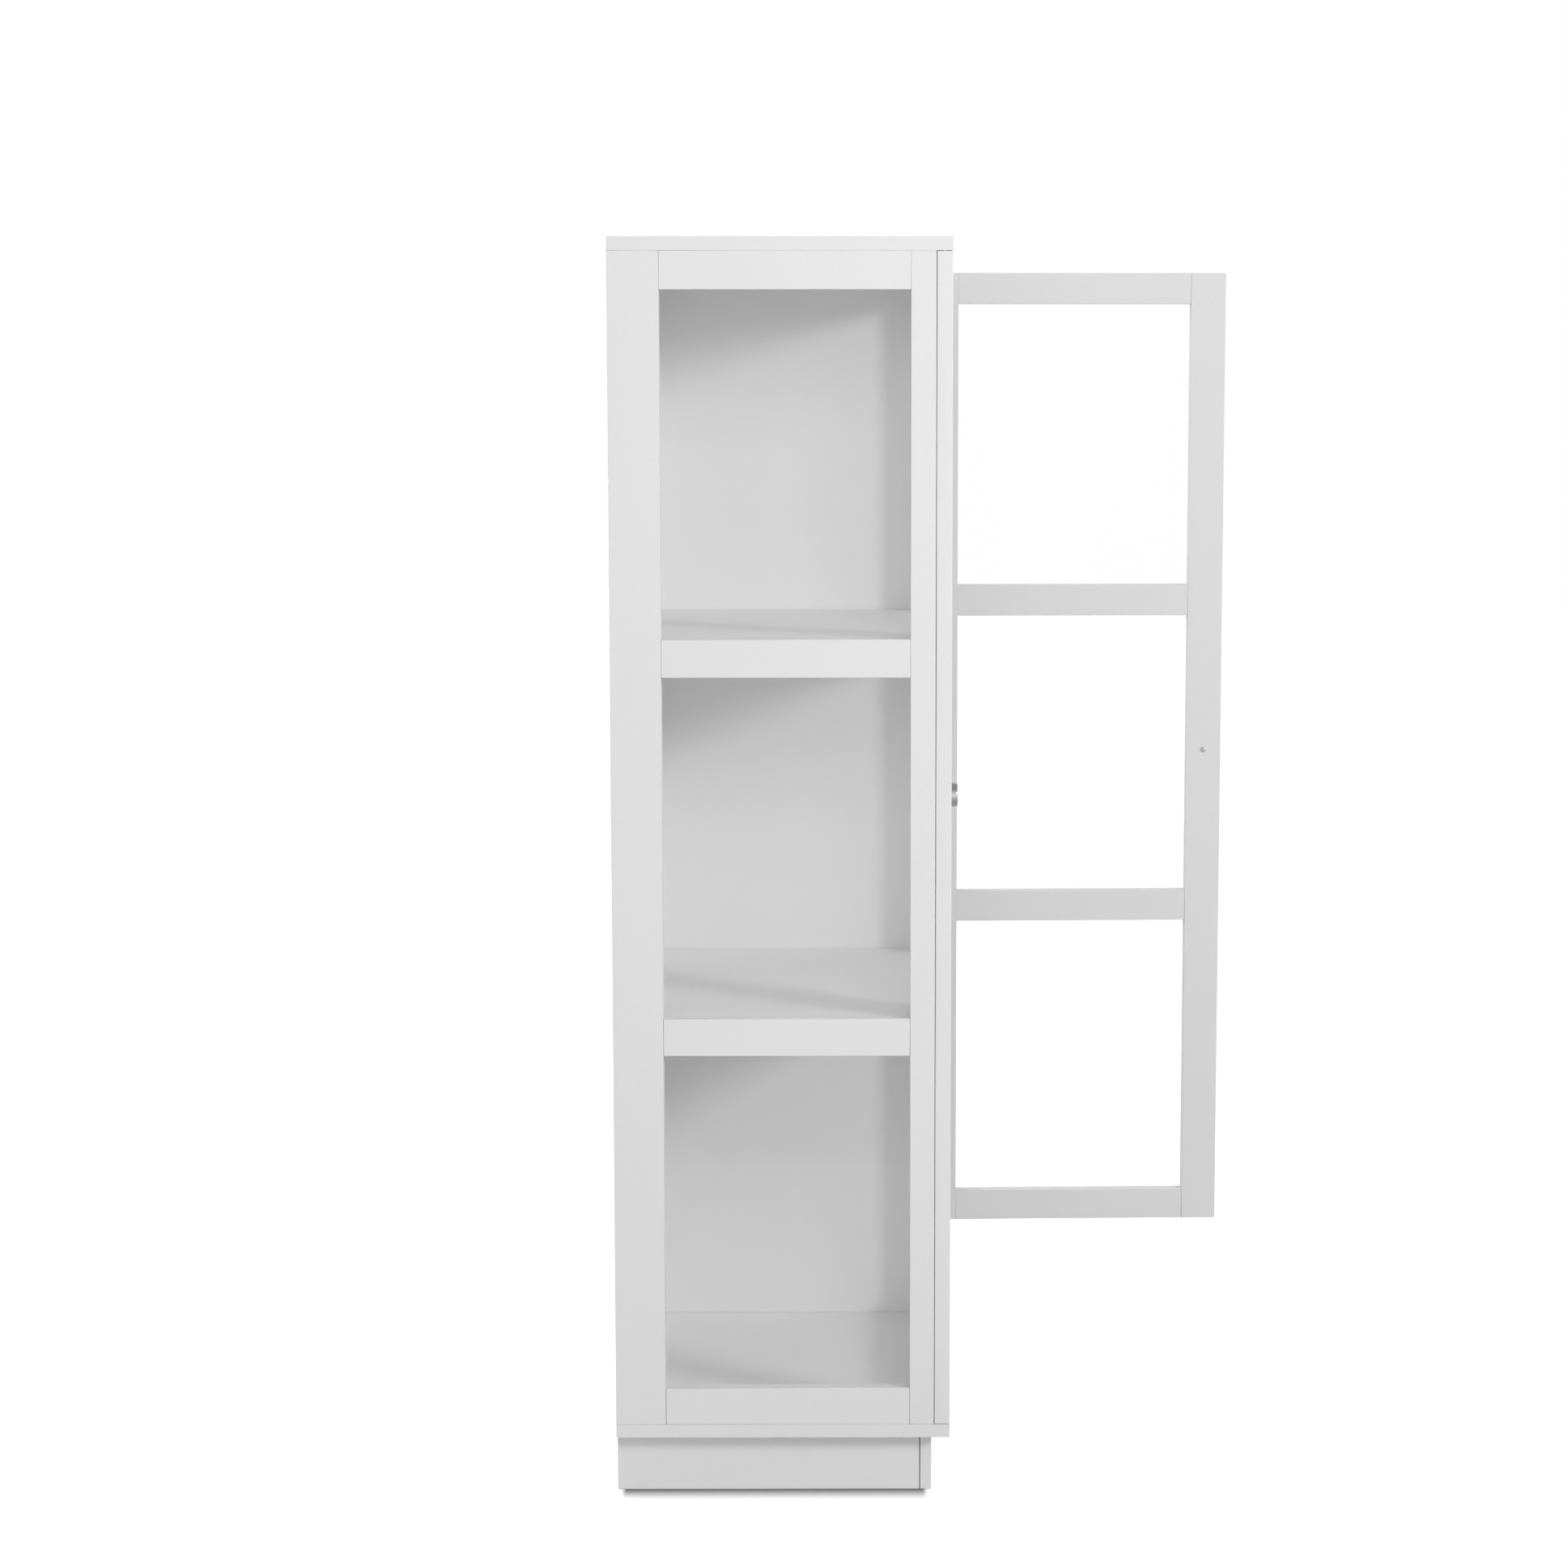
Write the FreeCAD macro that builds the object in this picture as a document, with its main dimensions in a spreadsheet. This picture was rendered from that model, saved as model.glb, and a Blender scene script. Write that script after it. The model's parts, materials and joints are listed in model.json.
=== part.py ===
import FreeCAD, Part
import math
import os
import re
import Sketcher

# Bookcase with two glazed doors and glazed sides. Front is -Y, left is -X, +Z is up, the origin is on the
# floor under the middle of the cabinet. The left door is modelled shut and the right door open.

doc = FreeCAD.newDocument("Bookcase")
sheet = doc.addObject("Spreadsheet::Sheet", "Sizes")

# Driving dimensions in millimetres and degrees
SIZES = {
    # Cabinet
    "overall_width": "1050",
    "overall_depth": "480",
    "overall_height": "1800",
    "panel_thick": "19",
    "divider_thick": "19",
    "back_thick": "6",
    "back_rebate": "8",
    "back_clearance": "0.5",
    # Plinth
    "plinth_height": "86",
    "plinth_board": "16",
    "plinth_side_recess": "23",
    "plinth_front_recess": "26",
    "plinth_joint_gap": "1.2",
    # Side frames
    "side_thick": "22",
    "front_stile_width": "35",
    "rear_stile_width": "72",
    "rail_height": "54",
    # Doors
    "door_thick": "22",
    "door_gap": "1",
    "centre_gap": "3",
    "door_stile_width": "60",
    "door_edge_radius": "1.2",
    "door_swing": "95",
    "door_open_angle": "91.3",
    # Panes and the grooves that hold them
    "glass_thick": "4",
    "groove_clearance": "0.2",
    "groove_depth": "10",
    "pane_top_gap": "2",
    "tongue_end_gap": "0.5",
    # Shelves and their pins
    "shelf_thick": "19",
    "shelf_setback": "10",
    "shelf_end_gap": "1",
    "shelf_back_gap": "2",
    "pin_dia": "5",
    "pin_clearance": "0.05",
    "pin_hole_depth": "8",
    "pin_end_gap": "0.5",
    "pin_front_inset": "14",
    "pin_rear_inset": "36",
    "tab_length": "10",
    "tab_width": "9",
    "tab_thick": "3",
    # Knife hinges
    "pivot_inset": "5",
    "leaf_length": "40",
    "leaf_width": "8",
    "leaf_thick": "2.5",
    "leaf_clearance": "0.2",
    "leaf_screw_dia": "3.5",
    "leaf_screw_head_dia": "6.5",
    "leaf_screw_start": "16",
    "leaf_screw_pitch": "16",
    "pivot_dia": "4",
    "pivot_clearance": "0.05",
    "pivot_reach": "5",
    "pivot_well_dia": "6",
    "pivot_well_gap": "1",
    "boss_dia": "5.4",
    "nib_dia": "1.2",
    "nib_reach": "3.4",
    "nib_clearance": "0.2",
    # Knobs
    "knob_dia": "39",
    "knob_length": "26",
    "knob_head": "15",
    "knob_neck_dia": "20",
    "knob_edge_radius": "2.5",
    "knob_fillet_radius": "3",
    "knob_rise": "6",
    "screw_dia": "4",
    "screw_clearance": "0.05",
    "screw_hole_clearance": "0.25",
    "screw_bite": "9",
    "screw_tip_gap": "1",
    "screw_head_dia": "8.5",
    "screw_head_height": "2.6",
    "screw_edge_radius": "1.8",
    # Catches and bumpers
    "magnet_dia": "10",
    "magnet_depth": "5",
    "magnet_clearance": "0.1",
    "disc_thick": "2",
    "bumper_dia": "6",
    "bumper_offset": "5",
    "bumper_end": "40",
    "bumper_clearance": "0.2",
}

PANE_COUNT = 3
RAIL_COUNT = PANE_COUNT + 1
SHELF_COUNT = PANE_COUNT - 1
LEAF_SCREW_COUNT = 2

# Formulas in those names, shared by the pieces
FLOOR = "(plinth_height + panel_thick)"
CEILING = "(overall_height - panel_thick)"
FRAME_HEIGHT = "(overall_height - plinth_height - 2 * panel_thick)"
PANE_OPENING = f"(({FRAME_HEIGHT} - {RAIL_COUNT} * rail_height) / {PANE_COUNT})"
PANE_HEIGHT = f"({PANE_OPENING} + 2 * groove_depth - pane_top_gap)"
RAIL_STEP = f"(rail_height + {PANE_OPENING})"
FRONT = "(door_thick + door_gap - overall_depth / 2)"
REAR = "(overall_depth / 2)"
CARCASS_DEPTH = "(overall_depth - door_thick - door_gap)"
BACK_FACE = "(overall_depth / 2 - back_thick)"
SIDE_OPENING = f"({CARCASS_DEPTH} - front_stile_width - rear_stile_width)"
BAY_WIDTH = "(overall_width / 2 - side_thick - divider_thick / 2)"
DOOR_WIDTH = "((overall_width - centre_gap) / 2)"
DOOR_HEIGHT = f"({FRAME_HEIGHT} - 2 * door_gap)"
DOOR_OPENING = f"({DOOR_WIDTH} - 2 * door_stile_width)"
DOOR_FOOT = f"({FLOOR} + door_gap)"
GROOVE = "(glass_thick + 2 * groove_clearance)"
TONGUE = "(groove_depth - tongue_end_gap)"
PIVOT_X = "(overall_width / 2 - pivot_inset)"
PIVOT_Y = "((door_thick - overall_depth) / 2)"
LATCH_U = f"({DOOR_WIDTH} - door_stile_width / 2)"
NIB_ANGLE = "(door_swing * 1 deg + 2 * asin((nib_dia + nib_clearance) / (2 * nib_reach)))"

for row, (alias, number) in enumerate(SIZES.items(), 1):
    sheet.set(f"A{row}", alias)
    sheet.set(f"B{row}", number)
    sheet.setAlias(f"B{row}", alias)
doc.recompute()

ALIAS = re.compile(r"\b(" + "|".join(SIZES) + r")\b")
X_AXIS = FreeCAD.Vector(1, 0, 0)
Y_AXIS = FreeCAD.Vector(0, 1, 0)
Z_AXIS = FreeCAD.Vector(0, 0, 1)
ORIGIN_INDEX = -1
START_INDEX = 1
END_INDEX = 2
CENTRE_INDEX = 3
EDGE_TOLERANCE = 1e-6
QUARTER_TURN = "90"
HALF_TURN = "180"
parts = []


def formula(text):
    """The formula as other objects of the document read it."""
    return ALIAS.sub(r"Sizes.\1", text)


def number_of(text):
    """What the formula comes to now."""
    return float(sheet.evalExpression(text))


def bind(item, **formulas):
    """Ties properties of an object to formulas."""
    for name, text in formulas.items():
        item.setExpression(name, formula(text))


def place(item, x, y, z, angle="0"):
    """Puts an object at a point, turned about the vertical."""
    item.Placement = FreeCAD.Placement(FreeCAD.Vector(), FreeCAD.Rotation(Z_AXIS, number_of(angle)))
    for axis, text in zip("xyz", (x, y, z)):
        item.setExpression(f"Placement.Base.{axis}", formula(text))
    item.setExpression("Placement.Rotation.Angle", formula(angle))


def new_item(kind, label):
    item = doc.addObject(kind, label)
    item.Label = label
    return item


def new_board(label, length, width, height):
    """A plain rectangular board or pane."""
    board = new_item("Part::Box", label)
    bind(board, Length=length, Width=width, Height=height)
    return board


def new_rod(label, diameter, length, direction, x, y, z):
    """A round piece along one axis."""
    rod = new_item("Part::Cylinder", label)
    bind(rod, Radius=f"{diameter} / 2", Height=length)
    rod.Placement = FreeCAD.Placement(FreeCAD.Vector(), FreeCAD.Rotation(Z_AXIS, direction))
    for axis, text in zip("xyz", (x, y, z)):
        rod.setExpression(f"Placement.Base.{axis}", formula(text))
    return rod


def new_group(label, members):
    """Several separate solids that make one sub-part."""
    group = new_item("Part::Compound", label)
    group.Links = members
    return group


# Sketches


def new_sketch(body, role, lift="0"):
    """A sketch on one of the body's origin planes, moved along the plane's normal."""
    sketch = body.newObject("Sketcher::SketchObject", f"{body.Name}_sketch")
    plane = next(feature for feature in body.Origin.OriginFeatures if feature.Role == role)
    sketch.AttachmentSupport = [(plane, "")]
    sketch.MapMode = "FlatFace"
    sketch.setExpression("AttachmentOffset.Base.z", formula(lift))
    return sketch


def hold(sketch, edge, end, **distances):
    """Fixes a point of an edge at its distances from the sketch's origin."""
    for kind, text in distances.items():
        constraint = Sketcher.Constraint(kind, ORIGIN_INDEX, START_INDEX, edge, end, number_of(text))
        index = sketch.addConstraint(constraint)
        sketch.setExpression(f"Constraints[{index}]", formula(text))


def add_outline(sketch, points):
    """A closed outline of straight edges."""
    corners = [FreeCAD.Vector(number_of(x), number_of(y), 0) for x, y in points]
    first = sketch.GeometryCount
    count = len(corners)
    for index, corner in enumerate(corners):
        sketch.addGeometry(Part.LineSegment(corner, corners[(index + 1) % count]))
    for index, (x, y) in enumerate(points):
        following = first + (index + 1) % count
        meeting = Sketcher.Constraint("Coincident", first + index, END_INDEX, following, START_INDEX)
        sketch.addConstraint(meeting)
        hold(sketch, first + index, START_INDEX, DistanceX=x, DistanceY=y)


def add_circle(sketch, x, y, diameter):
    centre = FreeCAD.Vector(number_of(x), number_of(y), 0)
    circle = sketch.addGeometry(Part.Circle(centre, Z_AXIS, number_of(diameter) / 2))
    hold(sketch, circle, CENTRE_INDEX, DistanceX=x, DistanceY=y)
    index = sketch.addConstraint(Sketcher.Constraint("Diameter", circle, number_of(diameter)))
    sketch.setExpression(f"Constraints[{index}]", formula(diameter))


def add_leaf_outline(sketch, x, y, sign, fit):
    """A hinge leaf in plan: round about the pivot, with a square end that lies along X by the sign."""
    half = f"(leaf_width / 2 + {fit})"
    far = f"({x} + {sign} * (leaf_length + {fit}))"
    points = [(x, f"{y} + {half}"), (far, f"{y} + {half}"), (far, f"{y} - {half}"), (x, f"{y} - {half}")]
    corners = [FreeCAD.Vector(number_of(a), number_of(b), 0) for a, b in points]
    first = sketch.GeometryCount
    last = first + len(corners) - 2
    for index, corner in enumerate(corners[1:]):
        sketch.addGeometry(Part.LineSegment(corners[index], corner))
        hold(sketch, first + index, START_INDEX, DistanceX=points[index][0], DistanceY=points[index][1])
    for line in range(first, last):
        sketch.addConstraint(Sketcher.Constraint("Coincident", line, END_INDEX, line + 1, START_INDEX))
    hold(sketch, last, END_INDEX, DistanceX=points[-1][0], DistanceY=points[-1][1])
    circle = Part.Circle(FreeCAD.Vector(number_of(x), number_of(y), 0), Z_AXIS, number_of(half))
    turn = math.pi / 2 if sign > 0 else -math.pi / 2
    arc = sketch.addGeometry(Part.ArcOfCircle(circle, turn, turn + math.pi))
    top, bottom = (START_INDEX, END_INDEX) if sign > 0 else (END_INDEX, START_INDEX)
    sketch.addConstraint(Sketcher.Constraint("Coincident", first, START_INDEX, arc, top))
    sketch.addConstraint(Sketcher.Constraint("Coincident", last, END_INDEX, arc, bottom))
    hold(sketch, arc, CENTRE_INDEX, DistanceX=x)


# Features


def add_pad(body, sketch, length, backwards=False):
    pad = body.newObject("PartDesign::Pad", f"{body.Name}_pad")
    pad.Profile = sketch
    pad.Reversed = backwards
    bind(pad, Length=length)
    return pad


def add_pocket(body, sketch, depth, backwards=False):
    """A cut against the sketch's normal, or along it."""
    pocket = body.newObject("PartDesign::Pocket", f"{body.Name}_pocket")
    pocket.Profile = sketch
    pocket.Reversed = backwards
    bind(pocket, Length=depth)
    return pocket


def add_round(body, feature, radius, chosen):
    """Rounds the edges of a feature that the test picks."""
    doc.recompute()
    edges = [f"Edge{index}" for index, edge in enumerate(feature.Shape.Edges, 1) if chosen(edge)]
    rounded = body.newObject("PartDesign::Fillet", f"{body.Name}_round")
    rounded.Base = (feature, edges)
    bind(rounded, Radius=radius)
    return rounded


def add_chamfer(body, feature, size, chosen):
    """Cuts the edges of a feature that the test picks at 45 degrees."""
    doc.recompute()
    edges = [f"Edge{index}" for index, edge in enumerate(feature.Shape.Edges, 1) if chosen(edge)]
    chamfer = body.newObject("PartDesign::Chamfer", f"{body.Name}_chamfer")
    chamfer.Base = (feature, edges)
    bind(chamfer, Size=size)
    return chamfer


def add_turning(body, points):
    """A solid of revolution about the body's Y axis, from an outline of radius and height."""
    sketch = new_sketch(body, "XY_Plane")
    add_outline(sketch, points)
    turned = body.newObject("PartDesign::Revolution", f"{body.Name}_turning")
    turned.Profile = sketch
    turned.ReferenceAxis = (sketch, ["V_Axis"])
    return turned


def is_rim(edge, diameter, axis, height):
    """Whether an edge is the circle of a diameter at a height along an axis."""
    curve = edge.Curve
    if not isinstance(curve, Part.Circle):
        return False
    right_size = math.isclose(curve.Radius * 2, number_of(diameter), abs_tol=EDGE_TOLERANCE)
    return right_size and math.isclose(curve.Center * axis, number_of(height), abs_tol=EDGE_TOLERANCE)


# Glazed frames. A frame has u along its width, across through its thickness and z up. Its stiles and rails
# have a groove along each inner edge, and the rails' tongues fill the stiles' grooves between the panes.


def grooved_section(thick, width, low, high):
    """The section of a member across its length, with a groove in its low or high edge."""
    near = f"({thick} - {GROOVE}) / 2"
    far = f"({thick} + {GROOVE}) / 2"
    points = [("0", "0")]
    if low:
        points += [(near, "0"), (near, "groove_depth"), (far, "groove_depth"), (far, "0")]
    points += [(thick, "0"), (thick, width)]
    if high:
        deep = f"{width} - groove_depth"
        points += [(far, width), (far, deep), (near, deep), (near, width)]
    return points + [("0", width)]


def new_stile(label, thick, width, height, grooved_far):
    """An upright, with its groove on the far edge along u or on the near one."""
    stile = new_item("PartDesign::Body", label)
    sketch = new_sketch(stile, "XY_Plane")
    section = grooved_section(thick, width, not grooved_far, grooved_far)
    add_outline(sketch, [(u, across) for across, u in section])
    add_pad(stile, sketch, height)
    return stile


def new_rail(label, thick, height, length, low, high):
    """A rail with a tongue at each end."""
    rail = new_item("PartDesign::Body", label)
    section = new_sketch(rail, "YZ_Plane")
    add_outline(section, grooved_section(thick, height, low, high))
    add_pad(rail, section, length)
    near = f"({thick} - {GROOVE}) / 2"
    far = f"({thick} + {GROOVE}) / 2"
    bottom = "groove_depth" if low else "0"
    top = f"{height} - groove_depth" if high else height
    tongue = new_sketch(rail, "YZ_Plane", f"-{TONGUE}")
    add_outline(tongue, [(near, bottom), (far, bottom), (far, top), (near, top)])
    add_pad(rail, tongue, f"{length} + 2 * {TONGUE}")
    return rail


RAIL_NAMES = ("bottom_rail", "lower_rail", "upper_rail", "top_rail")
PANE_NAMES = ("bottom_pane", "middle_pane", "top_pane")


def add_rails_and_panes(prefix, thick, stile, opening, trim, settle):
    """The rails and panes of one frame. The trim shortens the outer rails."""
    last = RAIL_COUNT - 1
    for level, name in enumerate(RAIL_NAMES):
        outer = level in (0, last)
        height = f"(rail_height - {trim})" if outer else "rail_height"
        rail = new_rail(f"{prefix}_{name}", thick, height, opening, level > 0, level < last)
        settle(rail, stile, "0", f"{level} * {RAIL_STEP} - {trim}" if level else "0")
        parts.append(rail)
    panes = []
    for level, name in enumerate(PANE_NAMES):
        length = f"{opening} + 2 * {TONGUE}"
        pane = new_board(f"{prefix}_{name}", length, "glass_thick", PANE_HEIGHT)
        foot = f"{level} * {RAIL_STEP} + rail_height - {trim} - groove_depth"
        settle(pane, f"{stile} - {TONGUE}", f"({thick} - glass_thick) / 2", foot)
        panes.append(pane)
    return panes


# Side frames


def settle_side(side):
    """Places a piece of a side frame: u runs from front to rear, across from right face to left."""
    face = "side_thick - overall_width / 2" if side == "left" else "overall_width / 2"

    def settle(item, u, across, z):
        place(item, f"{face} - ({across})", f"{FRONT} + {u}", f"{FLOOR} + {z}", QUARTER_TURN)

    return settle


def shelf_top(level):
    """Height of a shelf's upper face above the bottom panel, level with the top of a middle rail."""
    return f"({level} * {RAIL_STEP} + rail_height)"


def pin_height(level):
    """Height of a shelf pin's axis above the bottom panel."""
    return f"({shelf_top(level)} - shelf_thick - pin_dia / 2)"


def bore_pin_holes(stile, u, side):
    """Blind holes for the shelf pins in the inner face of a side stile."""
    face = "0" if side == "left" else "-side_thick"
    sketch = new_sketch(stile, "XZ_Plane", face)
    for level in range(1, SHELF_COUNT + 1):
        add_circle(sketch, u, pin_height(level), "(pin_dia + 2 * pin_clearance)")
    add_pocket(stile, sketch, "pin_hole_depth", side == "right")


def cut_back_rebate(stile, side):
    """The step along the inner rear corner that takes the back panel."""
    low = "0" if side == "left" else "side_thick - back_rebate"
    high = "back_rebate" if side == "left" else "side_thick"
    near = "rear_stile_width - back_thick"
    sketch = new_sketch(stile, "XY_Plane")
    far = "rear_stile_width"
    add_outline(sketch, [(near, low), (far, low), (far, high), (near, high)])
    add_pocket(stile, sketch, FRAME_HEIGHT, True)


for side in ("left", "right"):
    frame = f"{side}_side"
    settle = settle_side(side)
    front_stile = new_stile(f"{frame}_front_stile", "side_thick", "front_stile_width", FRAME_HEIGHT, True)
    bore_pin_holes(front_stile, "pin_front_inset", side)
    settle(front_stile, "0", "0", "0")
    rear_stile = new_stile(f"{frame}_rear_stile", "side_thick", "rear_stile_width", FRAME_HEIGHT, False)
    cut_back_rebate(rear_stile, side)
    bore_pin_holes(rear_stile, "rear_stile_width - pin_rear_inset", side)
    settle(rear_stile, f"front_stile_width + {SIDE_OPENING}", "0", "0")
    parts.extend([front_stile, rear_stile])
    panes = add_rails_and_panes(frame, "side_thick", "front_stile_width", SIDE_OPENING, "0", settle)
    parts.append(new_group(f"{frame}_panes", panes))


# Doors. Each hangs on a vertical pivot near its outer edge, in the middle of its thickness.


def door_point(side, u, out):
    """A point of a door in plan: u from its pivot towards its free edge, out towards its outer face."""
    if side == "left":
        return f"({u}) - {PIVOT_X}", f"{PIVOT_Y} - ({out})"
    cosine = "cos(door_open_angle)"
    sine = "sin(door_open_angle)"
    across = f"{PIVOT_X} - ({u}) * {cosine} + ({out}) * {sine}"
    along = f"{PIVOT_Y} - ({u}) * {sine} - ({out}) * {cosine}"
    return across, along


def settle_door(side):
    """Places a piece of a door: u runs from the hinge edge, across from one face to the other."""
    sign = 1 if side == "left" else -1
    angle = "0" if side == "left" else f"{HALF_TURN} + door_open_angle"

    def settle(item, u, across, z):
        x, y = door_point(side, f"{u} - pivot_inset", f"{sign} * (door_thick / 2 - ({across}))")
        place(item, x, y, f"{DOOR_FOOT} + {z}", angle)

    return settle


def new_hinge_stile(label):
    """The stile that takes the hinge leaves. Its outer edge is rounded to turn clear of the carcass."""
    stile = new_stile(label, "door_thick", "door_stile_width", DOOR_HEIGHT, True)
    add_round(stile, stile.Tip, "door_edge_radius", is_hinge_edge)
    for lift, backwards in (("0", True), (DOOR_HEIGHT, False)):
        mortise = new_sketch(stile, "XY_Plane", lift)
        add_leaf_outline(mortise, "pivot_inset", "door_thick / 2", 1, "leaf_clearance")
        add_pocket(stile, mortise, "leaf_thick", backwards)
    return stile


def is_hinge_edge(edge):
    """Whether an edge of a stile is upright at the start of u."""
    at_start = all(math.isclose(point.X, 0, abs_tol=EDGE_TOLERANCE) for point in edge.Vertexes)
    return at_start and math.isclose(edge.Length, number_of(DOOR_HEIGHT), abs_tol=EDGE_TOLERANCE)


KNOB_HEIGHT = f"({DOOR_HEIGHT} / 2 + knob_rise)"


def new_free_stile(label):
    """The stile with the hole for the knob's screw, and the seat of the catch's disc in its top end."""
    stile = new_stile(label, "door_thick", "door_stile_width", DOOR_HEIGHT, False)
    hole = new_sketch(stile, "XZ_Plane")
    add_circle(hole, "door_stile_width / 2", KNOB_HEIGHT, "(screw_dia + 2 * screw_hole_clearance)")
    add_pocket(stile, hole, "door_thick")
    seat = new_sketch(stile, "XY_Plane", DOOR_HEIGHT)
    add_circle(seat, "door_stile_width / 2", "door_thick / 2", "(magnet_dia + 2 * magnet_clearance)")
    add_pocket(stile, seat, "disc_thick")
    return stile


def new_knob(label):
    """A drum on a neck, bored for its screw. It points along -Y from the door's outer face."""
    knob = new_item("PartDesign::Body", label)
    bore = "(screw_dia / 2 + screw_clearance)"
    depth = "-(screw_bite + screw_tip_gap)"
    shoulder = "-(knob_length - knob_head)"
    points = [
        (bore, "0"),
        ("knob_neck_dia / 2", "0"),
        ("knob_neck_dia / 2", shoulder),
        ("knob_dia / 2", shoulder),
        ("knob_dia / 2", "-knob_length"),
        ("0", "-knob_length"),
        ("0", depth),
        (bore, depth),
    ]
    turned = add_turning(knob, points)
    neck_end = ("knob_neck_dia", Y_AXIS, shoulder)
    neck = add_round(knob, turned, "knob_fillet_radius", lambda edge: is_rim(edge, *neck_end))
    rims = [("knob_dia", Y_AXIS, end) for end in (shoulder, "-knob_length")]
    add_round(knob, neck, "knob_edge_radius", lambda edge: any(is_rim(edge, *rim) for rim in rims))
    return knob


def new_knob_screw(label):
    """A round-headed screw through the stile, with its head on the door's inner face."""
    screw = new_item("PartDesign::Body", label)
    crown = "door_thick + screw_head_height"
    points = [
        ("0", "-screw_bite"),
        ("screw_dia / 2", "-screw_bite"),
        ("screw_dia / 2", "door_thick"),
        ("screw_head_dia / 2", "door_thick"),
        ("screw_head_dia / 2", crown),
        ("0", crown),
    ]
    turned = add_turning(screw, points)
    rim = ("screw_head_dia", Y_AXIS, crown)
    add_round(screw, turned, "screw_edge_radius", lambda edge: is_rim(edge, *rim))
    return screw


def bore_screw_holes(leaf, sign, backwards):
    """Holes for a hinge leaf's screws, countersunk in the face towards the gap."""
    sketch = new_sketch(leaf, "XY_Plane")
    for index in range(LEAF_SCREW_COUNT):
        along = f"{sign} * (leaf_screw_start + {index} * leaf_screw_pitch)"
        add_circle(sketch, along, "0", "leaf_screw_dia")
    bored = add_pocket(leaf, sketch, "leaf_thick", backwards)
    rim = ("leaf_screw_dia", Z_AXIS, "0")
    add_chamfer(leaf, bored, "(leaf_screw_head_dia - leaf_screw_dia) / 2", lambda edge: is_rim(edge, *rim))


def new_door_leaf(label, upper):
    """A hinge leaf with a boss that spans the gap, the pivot pin, and the nib that meets the stop."""
    leaf = new_item("PartDesign::Body", label)
    plate = new_sketch(leaf, "XY_Plane")
    add_leaf_outline(plate, "0", "0", 1, "0")
    add_pad(leaf, plate, "leaf_thick", upper)
    pin_length = "door_gap + leaf_thick + pivot_reach"
    rises = (("0", "boss_dia", "door_gap"), ("0", "pivot_dia", pin_length))
    rises += (("nib_reach", "nib_dia", "door_gap - nib_clearance"),)
    for u, diameter, length in rises:
        sketch = new_sketch(leaf, "XY_Plane")
        add_circle(sketch, u, "0", diameter)
        add_pad(leaf, sketch, length, not upper)
    bore_screw_holes(leaf, 1, not upper)
    return leaf


for side in ("left", "right"):
    door = f"{side}_door"
    settle = settle_door(side)
    hinge_stile = new_hinge_stile(f"{door}_hinge_stile")
    settle(hinge_stile, "0", "0", "0")
    free_stile = new_free_stile(f"{door}_free_stile")
    settle(free_stile, f"{DOOR_WIDTH} - door_stile_width", "0", "0")
    parts.extend([hinge_stile, free_stile])
    panes = add_rails_and_panes(door, "door_thick", "door_stile_width", DOOR_OPENING, "door_gap", settle)
    parts.extend(panes)
    leaves = []
    for upper, end in ((True, "top"), (False, "bottom")):
        leaf = new_door_leaf(f"{door}_leaf_{end}", upper)
        settle(leaf, "pivot_inset", "door_thick / 2", DOOR_HEIGHT if upper else "0")
        leaves.append(leaf)
    parts.append(new_group(f"{door}_hinge_leaves", leaves))
    turn = "0" if side == "left" else "door_open_angle"
    knob_x, knob_y = door_point(side, f"{LATCH_U} - pivot_inset", "door_thick / 2")
    for piece in (new_knob(f"{side}_knob"), new_knob_screw(f"{side}_knob_screw")):
        place(piece, knob_x, knob_y, f"{DOOR_FOOT} + {KNOB_HEIGHT}", turn)
        parts.append(piece)
    disc_x, disc_y = door_point(side, f"{LATCH_U} - pivot_inset", "0")
    disc_z = f"{DOOR_FOOT} + {DOOR_HEIGHT} - disc_thick"
    parts.append(new_rod(f"{side}_catch_disc", "magnet_dia", "disc_thick", Z_AXIS, disc_x, disc_y, disc_z))


# Top and bottom panels. Both run forward over the doors and hold the fixed hinge leaves.


def cut_panel_seats(panel, lift, backwards):
    """Mortises for the hinge leaves, with wells for the pivot pins, in the face towards the doors."""
    across = f"{PIVOT_Y} + overall_depth / 2"
    for depth, is_well in (("leaf_thick", False), ("leaf_thick + pivot_reach + pivot_well_gap", True)):
        sketch = new_sketch(panel, "XY_Plane", lift)
        for pivot, sign in (("pivot_inset", 1), ("(overall_width - pivot_inset)", -1)):
            if is_well:
                add_circle(sketch, pivot, across, "pivot_well_dia")
            else:
                add_leaf_outline(sketch, pivot, across, sign, "leaf_clearance")
        add_pocket(panel, sketch, depth, backwards)


def new_panel(label, lift, backwards):
    """A panel with the rebate for the back and the hinge seats in the face at the given height."""
    panel = new_item("PartDesign::Body", label)
    plan = new_sketch(panel, "XY_Plane")
    wide = "overall_width"
    deep = "overall_depth"
    add_outline(plan, [("0", "0"), (wide, "0"), (wide, deep), ("0", deep)])
    add_pad(panel, plan, "panel_thick")
    step = new_sketch(panel, "XY_Plane", lift)
    left = "(side_thick - back_rebate)"
    right = f"(overall_width - {left})"
    near = "overall_depth - back_thick"
    add_outline(step, [(left, near), (right, near), (right, deep), (left, deep)])
    add_pocket(panel, step, "back_rebate", backwards)
    cut_panel_seats(panel, lift, backwards)
    return panel


def magnet_x(sign):
    return f"{sign} * ({LATCH_U} - overall_width / 2)"


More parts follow.
